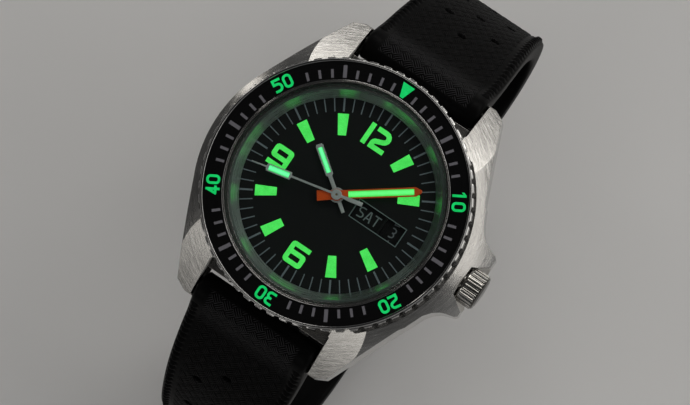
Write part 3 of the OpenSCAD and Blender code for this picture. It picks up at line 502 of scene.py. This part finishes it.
def strap_half(name, segs, length, tail):
    pitch = 7.5
    pores = [(0.0, 11.7 + pitch * k) for k in range(12)] + [(u, 11.7 + pitch * (k + 0.5)) for k in range(12) for u in (-4.1, 4.1)]
    last = 46.0 if tail else 44.0
    pores = [p for p in pores if p[1] < last]
    holes = [length - 14 - 6.5 * i for i in range(7)] if tail else []
    spots = sorted({p[1] for p in pores})
    rows = np.unique(np.round(np.concatenate([
        fine_steps(-6.2, 30.0, 0.2, [v for v in spots if v < 30], 0.42, 0.12),
        fine_steps(30.0, length, 0.3, [v for v in spots if v > 30], 0.42, 0.12)]), 3))
    if holes:
        rows = np.array(sorted(set(np.round(np.concatenate([rows, fine_steps(min(holes) - 2, length, 0.3, holes, 1.35, 0.15)]), 3))))
        keep = [rows[0]]
        for p in rows[1:]:
            if p - keep[-1] > 0.07:
                keep.append(p)
        keep[-1] = length
        rows = np.array(keep)
    full = 9.3
    cols = fine_steps(-(full - 0.45), full - 0.45, 0.27, (-4.1, 4.1), 0.7, 0.13)
    cols = np.array(sorted(set(np.round(np.concatenate([cols, fine_steps(-(full - 0.45), full - 0.45, 0.27, (0.0,), 1.35, 0.14)]), 3))))
    keep = [cols[0]]
    for p in cols[1:]:
        if p - keep[-1] > 0.06:
            keep.append(p)
    keep[-1] = full - 0.45
    cols = np.array(keep)

    def half(s):
        w = (19.7 + (17.6 - 19.7) * smooth(s, 3, 27)) / 2
        if tail:
            k = np.clip((s - length + 9) / 9, 0, 1)
            w = np.maximum(w * np.sqrt(np.maximum(1 - k * k, 0)), 3)
        return w

    def thick(s):
        t = np.full_like(s, 3.2)
        if tail:
            t = 3.2 - 0.6 * smooth(s, 40, 90)
            t = t * np.sqrt(np.maximum(1 - np.clip((s - length + 1.1) / 1.15, 0, 1) ** 2, 0.02))
        return t + 1.8 * (1 - smooth(s, 0.0, 5.0)) - 0.5 * (1 - smooth(s, -6.2, -5.7))

    S, U = np.meshgrid(rows, cols, indexing="ij")
    W = half(S)
    U = U * (W - 0.45) / (full - 0.45)
    T = thick(S)
    E = W - np.abs(U)

    # relief of the outer face: woven panel, beaded rails, pores
    on = smooth(S, -2.6, -2.4) * (1 - smooth(S, length - 6.6, length - 5.6))
    p, q = (U + S) / math.sqrt(2) / CELL, (U - S) / math.sqrt(2) / CELL
    odd = (np.floor(p) + np.floor(q)) % 2
    fp, fq = p - np.floor(p), q - np.floor(q)
    run, cross = np.where(odd == 1, fq, fp), np.where(odd == 1, fp, fq)
    cell = np.sin(np.pi * run) ** 0.9 * (1 - (2 * cross - 1) ** 6)
    panel = smooth(E, 2.3, 2.5)
    H = on * panel * (0.09 * cell - 0.10)
    H -= on * 0.16 * np.exp(-(((E - 2.22) / 0.13) ** 2))
    ph = ((S - 1.25) % 1.05) / 1.05
    knob = np.where(S < 1.2, 0.05, 0.70 * np.sin(np.pi * ph) ** 0.8 - 0.28)
    H += on * smooth(E, 0.45, 0.75) * (1 - smooth(E, 1.2, 1.6)) * knob
    pore = np.zeros_like(H)
    for u, s in pores:
        d = np.sqrt(((U - u) / 0.70) ** 2 + ((S - s) / 0.38) ** 2)
        pore = np.maximum(pore, 1 - smooth(d, 0.74, 1.10))
    H = H * (1 - pore) - 1.0 * pore * on
    Hb = -0.10 * on * smooth(E, 2.2, 2.6) - 0.5 * pore * on

    y, z, a = along(segs, rows)
    sgn = -1.0 if tail else 1.0

    def place(u, s_i, h):
        """A point u across, h outward, on row s_i."""
        return np.stack([u, sgn * (y[s_i] + np.sin(a[s_i]) * h), z[s_i] + np.cos(a[s_i]) * h], -1)

    ri = np.arange(len(rows))[:, None]
    top = place(U, np.broadcast_to(ri, U.shape), T / 2 + H)
    bot = place(U, np.broadcast_to(ri, U.shape), -T / 2 - Hb)
    nr, nc = U.shape
    # rounded sides, from the outer face's edge round to the inner face's edge
    k = 5
    side = {}
    for sg in (1, -1):
        ring = []
        for j in range(k):
            f = (j + 1) / (k + 1)
            rr = np.minimum(0.45, T[:, 0] * 0.45)
            ang = np.pi * f
            # a flattened half round: quick at the corners, straight in the middle
            cx = np.sin(ang) ** 0.45
            cz = np.sign(np.cos(ang)) * np.abs(np.cos(ang)) ** 0.75
            u = sg * (W[:, 0] - rr + rr * cx)
            ring.append(place(u, ri[:, 0], T[:, 0] / 2 * cz))
        side[sg] = np.stack(ring, 1)
    verts = np.concatenate([top.reshape(-1, 3), bot.reshape(-1, 3), side[1].reshape(-1, 3), side[-1].reshape(-1, 3)])
    it = np.arange(nr * nc).reshape(nr, nc)
    ib = it + nr * nc
    isr = np.arange(nr * k).reshape(nr, k) + 2 * nr * nc
    isl = isr + nr * k
    flat_u = np.concatenate([U.ravel(), U.ravel(), np.repeat(W[:, 0], k), np.repeat(-W[:, 0], k)])
    flat_s = np.concatenate([S.ravel(), S.ravel(), np.repeat(rows, k), np.repeat(rows, k)])
    flat_p = np.concatenate([(on * panel * (1 - pore)).ravel(), np.zeros(nr * nc + 2 * nr * k)])
    flat_d = np.concatenate([(pore * on).ravel(), (pore * on).ravel(), np.zeros(2 * nr * k)])

    # which cells stay: adjustment holes and the tongue's slot go right through
    cu = (U[:-1, :-1] + U[1:, 1:]) / 2
    cs = (S[:-1, :-1] + S[1:, 1:]) / 2
    gone = np.zeros_like(cu, bool)
    for h in holes:
        gone |= cu ** 2 + (cs - h) ** 2 < 1.1 ** 2
    if not tail:
        gone |= (np.abs(cu) < 1.6) & (cs > length - 3.4)
    faces = []
    keep_cells = ~gone
    for r in range(nr - 1):
        for c in range(nc - 1):
            if keep_cells[r, c]:
                faces.append((it[r, c], it[r, c + 1], it[r + 1, c + 1], it[r + 1, c]))
                faces.append((ib[r, c], ib[r + 1, c], ib[r + 1, c + 1], ib[r, c + 1]))
    pad = np.pad(keep_cells, 1)
    rim = set()
    for r in range(nr - 1):
        for c in range(nc - 1):
            if keep_cells[r, c]:
                for dr, dc, e in ((-1, 0, ((r, c), (r, c + 1))), (1, 0, ((r + 1, c), (r + 1, c + 1))), (0, -1, ((r, c), (r + 1, c))), (0, 1, ((r, c + 1), (r + 1, c + 1)))):
                    if not pad[r + 1 + dr, c + 1 + dc]:
                        if (dc == -1 and c == 0) or (dc == 1 and c == nc - 2):
                            continue
                        (r0, c0), (r1, c1) = e
                        faces.append((it[r0, c0], it[r1, c1], ib[r1, c1], ib[r0, c0]))
                        rim.add((r0, c0)); rim.add((r1, c1))
    # the rim of each round hole follows its circle
    for r, c in rim:
        for h in holes:
            du, ds = U[r, c], S[r, c] - h
            d = math.hypot(du, ds)
            if 0.6 < d < 1.5:
                u1, s1 = du / d * 1.1, h + ds / d * 1.1
                yy, zz, aa = along(segs, s1)
                t1 = float(thick(np.array([s1]))[0])
                for idx, hh in ((it[r, c], t1 / 2), (ib[r, c], -t1 / 2)):
                    verts[idx] = (u1, sgn * (yy[0] + math.sin(aa[0]) * hh), zz[0] + math.cos(aa[0]) * hh)
    for r in range(nr - 1):
        for col, ring in ((nc - 1, isr), (0, isl)):
            chain0 = [it[r, col], *ring[r], ib[r, col]]
            chain1 = [it[r + 1, col], *ring[r + 1], ib[r + 1, col]]
            for j in range(k + 1):
                faces.append((chain0[j], chain0[j + 1], chain1[j + 1], chain1[j]))
    for r in (0, nr - 1):
        for col, ring in ((nc - 1, isr), (0, isl)):
            faces.append(tuple([it[r, col], *ring[r], ib[r, col]]))
    me = bpy.data.meshes.new(name)
    me.from_pydata((verts * MM).tolist(), [], [tuple(int(i) for i in f) for f in faces])
    for nm, vals in (("across", flat_u), ("run", flat_s), ("panel", flat_p), ("pore", flat_d)):
        at = me.attributes.new(nm, "FLOAT", "POINT")
        at.data.foreach_set("value", vals.astype(np.float32))
    ob = bpy.data.objects.new(name, me)
    scene.collection.objects.link(ob)
    bm = bmesh.new()
    bm.from_mesh(me)
    bmesh.ops.delete(bm, geom=[v for v in bm.verts if not v.link_faces], context="VERTS")
    bmesh.ops.recalc_face_normals(bm, faces=bm.faces)
    bm.to_mesh(me)
    bm.free()
    me.polygons.foreach_set("use_smooth", [True] * len(me.polygons))
    return ob


def tube(name, spans, y, z, outer, inner, edge=0.22, seg=56):
    """Rounded sleeves along X at (y, z): the strap's end round its bar."""
    vs, fs = [], []
    for x0, x1 in spans:
        prof = [(x0, inner), (x0, outer - edge)]
        prof += [(x0 + edge * (1 - math.cos(t)), outer - edge + edge * math.sin(t)) for t in np.linspace(0, math.pi / 2, 5)[1:]]
        prof += [(x1 - edge * (1 - math.cos(t)), outer - edge + edge * math.sin(t)) for t in np.linspace(math.pi / 2, 0, 5)]
        prof += [(x1, inner)]
        b, m = len(vs), len(prof)
        for j in range(seg):
            t = 2 * math.pi * j / seg
            vs += [(px * MM, (y + r * math.cos(t)) * MM, (z + r * math.sin(t)) * MM) for px, r in prof]
        for j in range(seg):
            for i in range(m):
                a0, a1 = b + j * m + i, b + j * m + (i + 1) % m
                b0, b1 = b + (j + 1) % seg * m + i, b + (j + 1) % seg * m + (i + 1) % m
                fs.append((a0, a1, b1, b0))
    me = bpy.data.meshes.new(name)
    me.from_pydata(vs, [], fs)
    for nm in ("across", "run", "panel", "pore"):
        me.attributes.new(nm, "FLOAT", "POINT")
    ob = bpy.data.objects.new(name, me)
    scene.collection.objects.link(ob)
    bm = bmesh.new(); bm.from_mesh(me)
    bmesh.ops.recalc_face_normals(bm, faces=bm.faces)
    for e in bm.edges:
        e.smooth = len(e.link_faces) == 2 and e.calc_face_angle(0) < RAD(40)
    bm.to_mesh(me); bm.free()
    me.polygons.foreach_set("use_smooth", [True] * len(me.polygons))
    return ob


def loop_piece(name, s, length):
    """A keeper: a soft rounded band round the strap, with two shallow grooves."""
    hx, lo, hi, cr = 9.42, -2.4, 5.1, 1.5
    cz, hz = (lo + hi) / 2, (hi - lo) / 2
    path = []
    for qx, qz, t0 in ((1, 1, 0), (-1, 1, 90), (-1, -1, 180), (1, -1, 270)):
        for t in np.linspace(t0, t0 + 90, 11):
            c, sn = math.cos(RAD(t)), math.sin(RAD(t))
            path.append((qx * (hx - cr) + cr * c, cz + qz * (hz - cr) + cr * sn, c, sn))
    prof, L, th, er = [], length / 2, 0.33, 0.22
    for qb, qa, t0 in ((1, 1, 0), (-1, 1, 90), (-1, -1, 180), (1, -1, 270)):
        for t in np.linspace(t0, t0 + 90, 6):
            prof.append((qb * (L - er) + er * math.cos(RAD(t)), qa * (th - er) + er * math.sin(RAD(t))))
        if (qb, qa) == (1, 1):
            for b in np.linspace(L - er, -(L - er), 15)[1:-1]:
                d = sum(math.exp(-(((b - g) / 0.22) ** 2)) for g in (-length * 0.25, length * 0.25))
                prof.append((b, th - 0.12 * d))
    y, z, a = (float(v[0]) for v in along(SHORT, s))
    vs, fs, n, m = [], [], len(path), len(prof)
    for px, pz, nx_, nz_ in path:
        for b, h in prof:
            x_, zz = px + nx_ * h, pz + nz_ * h
            vs.append((x_ * MM, (y + math.cos(a) * b + math.sin(a) * zz) * MM, (z - math.sin(a) * b + math.cos(a) * zz) * MM))
    for j in range(n):
        for i in range(m):
            fs.append((j * m + i, j * m + (i + 1) % m, (j + 1) % n * m + (i + 1) % m, (j + 1) % n * m + i))
    me = bpy.data.meshes.new(name)
    me.from_pydata(vs, [], fs)
    for nm in ("across", "run", "panel", "pore"):
        me.attributes.new(nm, "FLOAT", "POINT")
    ob = bpy.data.objects.new(name, me)
    scene.collection.objects.link(ob)
    bm = bmesh.new(); bm.from_mesh(me)
    bmesh.ops.remove_doubles(bm, verts=bm.verts, dist=1e-7)
    bmesh.ops.recalc_face_normals(bm, faces=bm.faces)
    bm.to_mesh(me); bm.free()
    me.polygons.foreach_set("use_smooth", [True] * len(me.polygons))
    return ob


def rubber_material():
    """Black rubber: fine ridges in each woven cell, a soft bloom, a painted highlight on the ridge crests near the
    case and painted shade in the pores.
    """
    m = Mat("strap_rubber_black")

    def attr(n):
        return m.new("ShaderNodeAttribute", attribute_name=n).outputs["Fac"]

    u, s, panel, pore = (attr(n) for n in ("across", "run", "panel", "pore"))
    k = 1 / math.sqrt(2) / CELL
    p, q = m.math("MULTIPLY", m.math("ADD", u, s), k), m.math("MULTIPLY", m.math("SUBTRACT", u, s), k)
    odd = m.math("FLOORED_MODULO", m.math("ADD", m.math("FLOOR", p), m.math("FLOOR", q)), 2.0)
    cross = m.lerp(odd, m.math("FRACT", q), m.math("FRACT", p))
    ridge = m.math("MULTIPLY", m.math("SINE", m.math("MULTIPLY", cross, 2 * math.pi * 4)), panel)
    v = m.mm()
    grain = m.noise(v, 9.0, 3.0, 0.6)
    bloom = m.noise(v, 0.22, 3.0, 0.55)
    tone = m.math("ADD", m.math("MULTIPLY", grain, 0.35), m.math("ADD", m.math("MULTIPLY", bloom, 0.5), m.math("MULTIPLY", ridge, 0.35)))
    # the crests next to the case are painted paler: a painted highlight
    crest = m.math("POWER", m.math("MAXIMUM", ridge, 0.0), 1.5)
    painted_crest_highlight = m.math("MULTIPLY", crest, m.map(s, 1.0, 5.5, 1.0, 0.10, True))
    dark = m.mix(painted_crest_highlight, m.mix(tone, grey(0.0010), (0.0050, 0.0049, 0.0050)), (0.042, 0.041, 0.043))
    # the pores are painted near black: painted shade in the recesses
    dark = m.mix(pore, dark, grey(0.0004))
    m.set(
        Base_Color=dark,
        Specular_IOR_Level=m.map(pore, 0.0, 0.6, 0.05, 0.0),
        Roughness=m.math("SUBTRACT", m.map(grain, 0.3, 0.7, 0.38, 0.50), m.math("MULTIPLY", ridge, 0.06)),
        Normal=m.bump(m.math("ADD", m.math("MULTIPLY", ridge, 0.8), m.math("MULTIPLY", grain, 0.12)), 0.09, 1.0),
    )
    return m


rubber = rubber_material()
bar_y, bar_z, bar_a = (float(v[0]) for v in along(SHORT, SHORT_LEN))
strap12 = strap_half("strap_12_band", SHORT, SHORT_LEN, False)
strap6 = strap_half("strap_6_band", LONG, LONG_LEN, True)
end12 = tube("strap_12_end", [(-9.8, 9.8)], 21.2, 2.8, 2.3, 0.95)
end6 = tube("strap_6_end", [(-9.8, 9.8)], -21.2, 2.8, 2.3, 0.95)
loop12 = tube("strap_12_buckle_loop", [(-8.8, -1.6), (1.6, 8.8)], bar_y, bar_z, 1.72, 0.86)
keep_f = loop_piece("keeper_fixed", 62.0, 4.5)
keep_m = loop_piece("keeper_sliding", 49.0, 5.0)
for ob, body, stands in (
    (strap12, "strap_12", "strap_buckle_half"), (end12, "strap_12", "strap_buckle_half"), (loop12, "strap_12", "strap_buckle_half"),
    (strap6, "strap_6", "strap_tail_half"), (end6, "strap_6", "strap_tail_half"),
    (keep_f, "strap_12", "fixed_keeper"), (keep_m, "keeper", "floating_keeper"),
):
    ob.data.materials.append(rubber.m)
    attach(ob, body)
    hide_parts(stands)


# ---------------------------------------------------------------- floor, light, camera
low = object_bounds()[0][2]
me = bpy.data.meshes.new("floor")
me.from_pydata([(-2, -2, low), (2, -2, low), (2, 2, low), (-2, 2, low)], [], [(0, 1, 2, 3)])
floor = bpy.data.objects.new("floor", me)
scene.collection.objects.link(floor)
fl = Mat("floor_pale", Specular_IOR_Level=0.2)
g = fl.noise(fl.mm(), 0.02, 3.0, 0.6)
fl.set(Base_Color=fl.mix(g, (0.76, 0.75, 0.735), (0.81, 0.80, 0.785)), Roughness=fl.map(g, 0.3, 0.7, 0.75, 0.85))
me.materials.append(fl.m)

target = Vector((0, 0, 0.008))


def softbox(name, direction, dist, size, power, colour=(1, 1, 1)):
    l = bpy.data.lights.new(name, "AREA")
    l.shape, l.size, l.size_y, l.energy, l.color = "RECTANGLE", size[0], size[1], power, colour
    o = bpy.data.objects.new(name, l)
    scene.collection.objects.link(o)
    d = Vector(direction).normalized()
    o.location = target + d * dist
    o.rotation_euler = (-d).to_track_quat("-Z", "Y").to_euler()
    return o


softbox("key_right", (0.611, 0.444, 0.656), 0.50, (0.48, 0.16), 0.40, (1.0, 0.98, 0.95))
softbox("key_far", (-0.027, 0.777, 0.629), 0.50, (0.50, 0.15), 0.66, (1.0, 0.98, 0.95))
softbox("low", (-0.25, -0.68, 0.69), 0.50, (0.46, 0.14), 0.24, (1.0, 0.98, 0.95))
softbox("left", (-0.90, 0.30, 0.34), 0.55, (0.06, 0.35), 0.15, (1.0, 0.97, 0.93))

# an even overhead wash for the floor; it stays out of the mirror-like steel
wash = softbox("wash", (0.1, 0.1, 1.0), 1.20, (1.6, 1.6), 2.5)
wash.visible_glossy = False

# a plain studio surround: dim overhead, paler towards the horizon and the key's side
world = bpy.data.worlds.new("studio")
world.use_nodes = True
wt = world.node_tree
tc = wt.nodes.new("ShaderNodeTexCoord")
sep = wt.nodes.new("ShaderNodeSeparateXYZ")
wt.links.new(tc.outputs["Generated"], sep.inputs[0])
height = wt.nodes.new("ShaderNodeMapRange")
height.inputs[1].default_value, height.inputs[2].default_value = -1.0, 1.0
wt.links.new(sep.outputs[2], height.inputs[0])
sky = wt.nodes.new("ShaderNodeValToRGB")
stops = [(0.0, 0.10), (0.46, 0.22), (0.54, 0.30), (0.66, 0.20), (0.82, 0.085), (0.95, 0.032), (1.0, 0.028)]
while len(sky.color_ramp.elements) < len(stops):
    sky.color_ramp.elements.new(0.5)
for e, (pos, v) in zip(sky.color_ramp.elements, stops):
    e.position, e.color = pos, (v * 0.99, v, v * 1.02, 1)
wt.links.new(height.outputs[0], sky.inputs[0])
side = wt.nodes.new("ShaderNodeVectorMath")
side.operation = "DOT_PRODUCT"
side.inputs[1].default_value = (0.95, 0.30, 0.0)
wt.links.new(tc.outputs["Generated"], side.inputs[0])
level = wt.nodes.new("ShaderNodeMapRange")
level.inputs[1].default_value, level.inputs[2].default_value = -1.0, 1.0
level.inputs[3].default_value, level.inputs[4].default_value = 0.36, 1.50
wt.links.new(side.outputs["Value"], level.inputs[0])
wt.links.new(sky.outputs[0], wt.nodes["Background"].inputs[0])
wt.links.new(level.outputs[0], wt.nodes["Background"].inputs[1])
scene.world = world

cam = bpy.data.cameras.new("camera")
cam.lens, cam.sensor_width, cam.sensor_fit = 182.609, 36.0, "HORIZONTAL"
cam.clip_start, cam.clip_end = 0.01, 10.0
co = bpy.data.objects.new("camera", cam)
scene.collection.objects.link(co)
right, up, back = Vector((0.8217297, 0.5646283, -0.0771699)), Vector((-0.5544743, 0.8234259, 0.1205323)), Vector((0.1315996, -0.0562562, 0.9897054))
m3 = Matrix((right, up, back)).transposed()
co.matrix_world = Matrix.Translation(Vector((66.419, -27.954, 497.322)) * MM) @ m3.to_4x4()
scene.camera = co

scene.view_settings.view_transform = "Standard"
scene.view_settings.look = "None"
